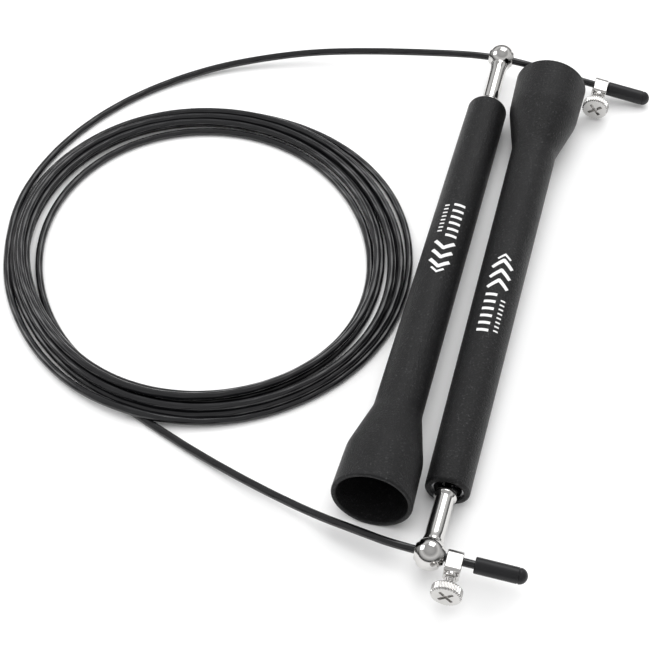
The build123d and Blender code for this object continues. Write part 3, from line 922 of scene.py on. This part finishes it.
# %% Clamps
loop_radius, loop_front, strip_half, clamp_half = 2.3, 4.9, 0.5, 2.4
half_turn = np.radians(np.arange(90, 271, 15))
back = np.round(loop_radius * np.stack([np.cos(half_turn), np.sin(half_turn)], -1), 2)
clamp_loop = rounded(
    [(loop_front, loop_radius, 0.6), *((x, y, 0) for x, y in back),
     (loop_front, -loop_radius, 0.6)],
    closed=True, steps=8, longest=0.4,
)
strip_section = rounded([
    (strip_half, -clamp_half, 0.3), (strip_half, clamp_half, 0.3),
    (-strip_half, clamp_half, 0.3), (-strip_half, -clamp_half, 0.3),
], closed=True, steps=6, longest=0.6)
screw_radius, boss_radius, boss_start, boss_end = 1.5, 2.3, 4.6, 6.3
boss_line = rounded([
    (boss_start, screw_radius, 0), (boss_start, boss_radius, 0),
    (boss_end, boss_radius, 0.2), (boss_end, screw_radius, 0.15),
], closed=True, steps=5, longest=0.5)
for side in places:
    origin, (along, front, over) = places[side]["cable"]
    ahead = np.roll(clamp_loop, -1, axis=0) - np.roll(clamp_loop, 1, axis=0)
    ahead /= np.linalg.norm(ahead, axis=1)[:, None]
    outward = np.stack([-ahead[:, 1], ahead[:, 0]], -1)
    flat = clamp_loop[:, None] + strip_section[None, :, :1] * outward[:, None]
    band = origin + flat[..., :1] * front + flat[..., 1:] * over
    band = band + strip_section[None, :, 1:] * along
    origin, axes = places[side]["clamp"]
    clamp = make_piece("clamp_band_" + side, [
        shell(band, rows_closed=True),
        shell(lathe(origin, axes, *boss_line.T, 64), rows_closed=True),
    ], sharp=40.0)
    place_piece(clamp, "clamp_" + side, polished_chrome, "polished_chrome", "cable_clamp_" + side)

# %% [markdown]
# ## Thumbscrew
# The screw that presses on the cable has a knurled head and a cross recess, so that it
# takes fingers or a screwdriver. Thread, knurl and recess are all made in the two
# numbers of one turned surface: the radius swings with the turn for the knurl, and the
# face sinks where a point is inside one arm of the cross.

# %% Thumbscrews
def cross_depth(radius, turn_angle, length, width, depth, soft=0.12):
    """Depth of a cross at a place on the face: the deeper of two arms, each full inside
    its half length and half width and faded over a soft edge."""
    x = radius * np.cos(turn_angle + math.pi / 4)
    y = radius * np.sin(turn_angle + math.pi / 4)

    def arm(u, v):
        inside = np.clip((length / 2 - np.abs(u)) / soft, 0, 1)
        return inside * np.clip((width / 2 - np.abs(v)) / soft, 0, 1)

    return depth * np.maximum(arm(x, y), arm(y, x))


screw_columns, face_rows = 256, 60
knurl_count, knurl_depth = 32, 0.34
screw_start, screw_end, screw_thread = 1.7, 8.5, 0.18
head_start, head_end, head_radius, chamfer = 9.6, 12.6, 4.6, 0.4
recess_length, recess_width, recess_depth = 5.4, 1.0, 0.9
screw_turn = np.linspace(0, 2 * np.pi, screw_columns, endpoint=False)
tip_line = vector([(1.35, 0.5), (1.35, 1.25), (1.55, 1.45)])
shank_rows = np.stack([np.arange(screw_start, 8.6, 0.07), np.full(99, screw_radius)], -1)
head_line = rounded([
    (head_start - 1, screw_radius, 0.2), (head_start, 3.4, 0.15),
    (head_start, head_radius - chamfer, 0), (head_start + chamfer, head_radius, 0),
    (head_end - chamfer, head_radius, 0), (head_end, head_radius - chamfer, 0),
], steps=5, longest=0.35)
face_radius = np.linspace(head_radius - chamfer - 0.05, 0.02, face_rows)
face_line = np.stack([np.full(face_rows, head_end), face_radius], -1)
screw_line = np.vstack([tip_line, shank_rows, head_line, face_line])
ridge = 0.5 + 0.5 * np.cos(knurl_count * screw_turn)
rim_start, rim_fade = 3.9, 0.4
on_rim = np.clip((screw_line[:, 1] - rim_start) / rim_fade, 0, 1)
knurl = knurl_depth * on_rim[:, None] * (1 - ridge) ** 2
screw_cut = knurl + thread(
    screw_line[:, 0], screw_columns, thread_pitch, screw_thread, screw_start, screw_end
)
for side in places:
    origin, axes = places[side]["clamp"]
    along = screw_line[:, :1] * np.ones(screw_columns)
    along[-face_rows:] -= cross_depth(
        face_radius[:, None], screw_turn, recess_length, recess_width, recess_depth
    )
    screw = make_piece("thumbscrew_chrome_" + side, [
        shell(lathe(origin, axes, along, screw_line[:, 1:] - screw_cut, screw_columns)),
    ], sharp=50.0)
    place_piece(screw, "thumb_" + side, polished_chrome, "polished_chrome", "thumbscrew_" + side)

# %% [markdown]
# ## End caps
# Each end of the cable wears a dipped vinyl cap: a thick sleeve with a round end, a soft
# lip, and a faint ring where the round end starts. A cylinder and half a ball would leave
# a seam, so one outline is turned. It runs from inside the bore, over the lip, to the tip.

# %% End caps
cap_radius, bore_depth, dome_at, ring_depth = 2.45, 10.0, 12.95, 0.15
gap_to_clamp = {"a": 0.25, "b": 3.4}
dome = np.radians(np.linspace(4, 89, 16))
cap_line = np.vstack([
    rounded([
        (bore_depth, 0.02, 0), (bore_depth, DIAMETER / 2, 0), (0.0, DIAMETER / 2, 0.1),
        (0.0, cap_radius, 0.35), (12.6, cap_radius, 0.3), (12.72, cap_radius - ring_depth, 0.1),
        (12.9, cap_radius - ring_depth, 0.1), (13.02, cap_radius - 0.01, 0.05),
    ], steps=6, longest=0.8),
    np.stack([dome_at + cap_radius * np.sin(dome), cap_radius * np.cos(dome)], -1),
])
for side, gap in gap_to_clamp.items():
    origin, axes = places[side]["cable"]
    cap = make_piece("end_cap_vinyl_" + side, [
        shell(lathe(origin + (clamp_half + gap) * axes[0], axes, *cap_line.T, 72)),
    ])
    place_piece(cap, "cable", cap_vinyl, "cap_vinyl", "end_cap_" + side)

# %% [markdown]
# ## Inner pieces
# The bearing, its retaining ring, the cup, the washers and the nut are right as CAD
# solids, so they stay and only get their finishes. The record names the finish of each
# by its slot, and one loop looks it up.

# %% Finishes for the CAD pieces that stay
finish_of = {
    "bearing_steel": bearing_steel, "socket_nylon": socket_nylon,
    "polished_chrome": polished_chrome,
}
kept = []
for subpart in frame["record"]["subparts"]:
    node = frame["nodes"].get(subpart["node"])
    if node is None or node.hide_render:
        continue
    material = finish_of[subpart["material_slot"]]
    if not node.material_slots:
        node.data.materials.append(material)
    for material_slot in node.material_slots:
        material_slot.material = material
    kept.append(subpart["node"])
print(len(kept), "CAD pieces kept:", kept)

# %% [markdown]
# ## What the cord is
# The cable leaves at its capped end by handle a and goes back into the object at the
# other. A steel cable is stiff, and it lies coiled. The spools and end caps that sit on it
# ride on the cable's body.

# %% [markdown]
# ## Floor and light
# The rope lies on a plain near-white floor. A wide bright sky gives most of the light, so
# the shadows are short and soft. The chrome needs something dark to reflect, or it would
# look like white plastic, so the sky goes from dark at the horizon to bright overhead.

# %% Floor
floor_mesh = bpy.data.meshes.new("floor")
reach = 3.0
floor_mesh.from_pydata(
    [(-reach, -reach, 0), (reach, -reach, 0), (reach, reach, 0), (-reach, reach, 0)],
    [], [(0, 1, 2, 3)],
)
floor = bpy.data.objects.new("floor", floor_mesh)
bpy.context.collection.objects.link(floor)
paper = bpy.data.materials.new("floor_paper")
paper.use_nodes = True
paper_shader = paper.node_tree.nodes["Principled BSDF"]
matt = {"Base Color": (0.93, 0.93, 0.93, 1), "Roughness": 0.9, "Specular IOR Level": 0.1}
for socket, value in matt.items():
    paper_shader.inputs[socket].default_value = value
floor_mesh.materials.append(paper)
print("floor is", 2 * reach, "m wide")

# %% [markdown]
# The surroundings are one ramp by height, wide and soft, so that the rope lights evenly.
# What mirrors see is dimmer than what lights the floor: the light path node tells the
# two kinds of ray apart, and the black plastic keeps its depth.

# %% Surroundings
world = bpy.data.worlds.new("studio")
bpy.context.scene.world = world
world.use_nodes = True
tree = world.node_tree
background = tree.nodes["Background"]
direction = add(tree, "ShaderNodeTexCoord")
split = add(tree, "ShaderNodeSeparateXYZ")
ramp = add(tree, "ShaderNodeValToRGB")
stops = [(0.0, 0.04), (0.16, 0.10), (0.34, 0.55), (0.55, 0.80), (0.78, 0.40), (1.0, 0.55)]
elements = ramp.color_ramp.elements
elements[0].position, elements[1].position = stops[0][0], stops[-1][0]
for position, _ in stops[1:-1]:
    elements.new(position)
for element, (_, grey) in zip(elements, stops):
    element.color = (grey, grey, grey, 1)
full_strength, strength_lost_in_mirrors = 1.6, 0.55
seen_by = add(tree, "ShaderNodeLightPath")
strength = add(tree, "ShaderNodeMath", {1: -strength_lost_in_mirrors, 2: full_strength},
               operation="MULTIPLY_ADD")
connect(tree, [
    (direction, "Generated", split, "Vector"),
    (split, "Z", ramp, "Fac"),
    (ramp, "Color", background, "Color"),
    (seen_by, "Is Glossy Ray", strength, 0),
    (strength, 0, background, "Strength"),
])
print("surroundings:", len(elements), "stops")


# %% [markdown]
# Three soft boxes stand round the rope. The back one draws the highlights along the
# grips and the stems, the left one opens up the near sides, and the top one only lifts
# the floor, so the metal doesn't mirror it.

# %% Lights
def softbox(name, place, size, power, mirrored):
    """A square area light that looks at the middle of the rope, and that the metal
    mirrors or doesn't."""
    light = bpy.data.lights.new(name, "AREA")
    light.energy = power
    light.size = size
    lamp = bpy.data.objects.new(name, light)
    lamp.location = place
    lamp.visible_glossy = mirrored
    to_rope = unit(vector(look_at) - vector(place))
    tilt = math.acos(np.clip(-to_rope[2], -1, 1))
    lamp.rotation_euler = (tilt, 0, math.atan2(to_rope[0], -to_rope[1]) + math.pi)
    bpy.context.collection.objects.link(lamp)
    return lamp


softbox("back_box", (0.10, 0.85, 1.05), 0.8, 6.0, True)
softbox("top_box", (-0.10, -0.10, 1.30), 1.0, 5.0, False)
softbox("left_box", (-0.90, 0.10, 0.70), 0.5, 3.0, True)
bpy.context.scene.view_settings.view_transform = "Standard"
